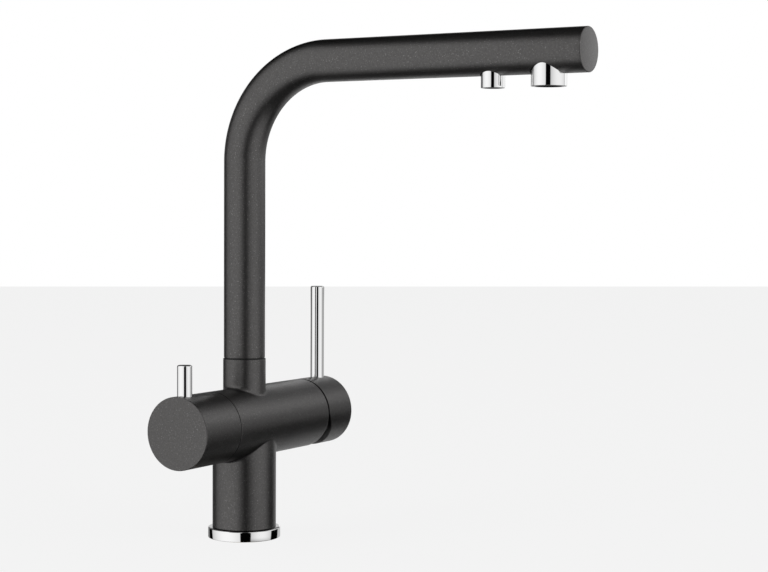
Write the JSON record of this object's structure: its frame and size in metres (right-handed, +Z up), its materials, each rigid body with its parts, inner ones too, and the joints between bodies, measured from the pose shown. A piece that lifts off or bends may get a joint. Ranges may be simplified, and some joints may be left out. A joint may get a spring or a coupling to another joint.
{
  "type": "drinking water filter tap",
  "caption": "Kitchen mixer tap with a swivelling L-shaped spout, a tilting mixer lever and a quarter-turn filtered water lever, with separate outlets.",
  "frame": {"origin": "centre of the base ring's underside, on the worktop", "axes": "+Z up along the column, -Y along the spout, +X along the cross body towards the mixer handle"},
  "size_m": [0.1805, 0.2835, 0.4033],
  "materials": {
    "anthracite_lacquer": "satin, fine lighter speckle",
    "chrome": "polished",
    "brass": "machined",
    "steel": "machined",
    "rubber": "matt",
    "white_plastic": "moulded",
    "black_plastic": "moulded",
    "ceramic": "lapped"
  },
  "bodies": {
    "fixed_body": {"base_ring": "chrome", "base_seal": "rubber", "centring_bush": "white_plastic", "mixer_body": "anthracite_lacquer", "inlet_block": "brass", "inlet_seals": "rubber", "block_screw": "steel", "threaded_shank": "brass", "clamp_seal": "rubber", "clamp_washer": "steel", "fixing_nut": "brass", "cartridge_casing": "white_plastic", "cartridge_base": "black_plastic", "cartridge_seals": "rubber", "fixed_disc": "ceramic", "cartridge_nut": "brass", "cover_ring": "black_plastic", "filter_valve": "brass", "valve_seal": "rubber", "filter_fixed_disc": "ceramic", "filter_riser": "brass", "riser_seals": "rubber", "slide_ring": "black_plastic"},
    "spout": {"spout_spigot": "brass", "spout_seals": "rubber", "spout_clip": "steel", "spout_tube": "anthracite_lacquer", "spout_end_cap": "anthracite_lacquer", "filter_tube": "white_plastic", "aerator_seat": "brass", "aerator_seal": "rubber", "aerator_housing": "chrome", "aerator_insert": "white_plastic", "aerator_screen": "steel", "filter_seat": "brass", "filter_outlet": "chrome", "filter_outlet_insert": "white_plastic"},
    "filter_control": {"filter_knob": "anthracite_lacquer", "filter_lever": "chrome", "filter_spindle": "brass", "filter_turning_disc": "ceramic"},
    "temperature_carrier": {"stem_carrier": "steel", "stem_pin": "steel"},
    "mixer_control": {"mixer_handle": "anthracite_lacquer", "mixer_lever": "chrome", "mixer_stem": "steel"},
    "flow_disc": {"moving_disc": "ceramic"}
  },
  "joints": [
    {"name": "spout_swivel", "type": "hinge", "parent": "fixed_body", "child": "spout", "pos_m": [0, 0, 0.124], "axis": [0, 0, 1], "continuous": true},
    {"name": "filter_turn", "type": "hinge", "parent": "fixed_body", "child": "filter_control", "pos_m": [-0.06, 0, 0.0795], "axis": [1, 0, 0], "range_deg": [0, 90]},
    {"name": "mixer_temperature", "type": "hinge", "parent": "fixed_body", "child": "temperature_carrier", "pos_m": [0.062, 0, 0.0795], "axis": [1, 0, 0], "range_deg": [-45, 45]},
    {"name": "mixer_flow", "type": "hinge", "parent": "temperature_carrier", "child": "mixer_control", "pos_m": [0.062, 0, 0.0795], "axis": [0, 1, 0], "range_deg": [0, 24]},
    {"name": "disc_slide", "type": "slide", "parent": "temperature_carrier", "child": "flow_disc", "axis": [0, 0, 1], "range_m": [0, 0.0058]}
  ],
  "couplings": [
    {"joint": "disc_slide", "follows": "mixer_flow", "m_per_rad": 0.0137}
  ]
}
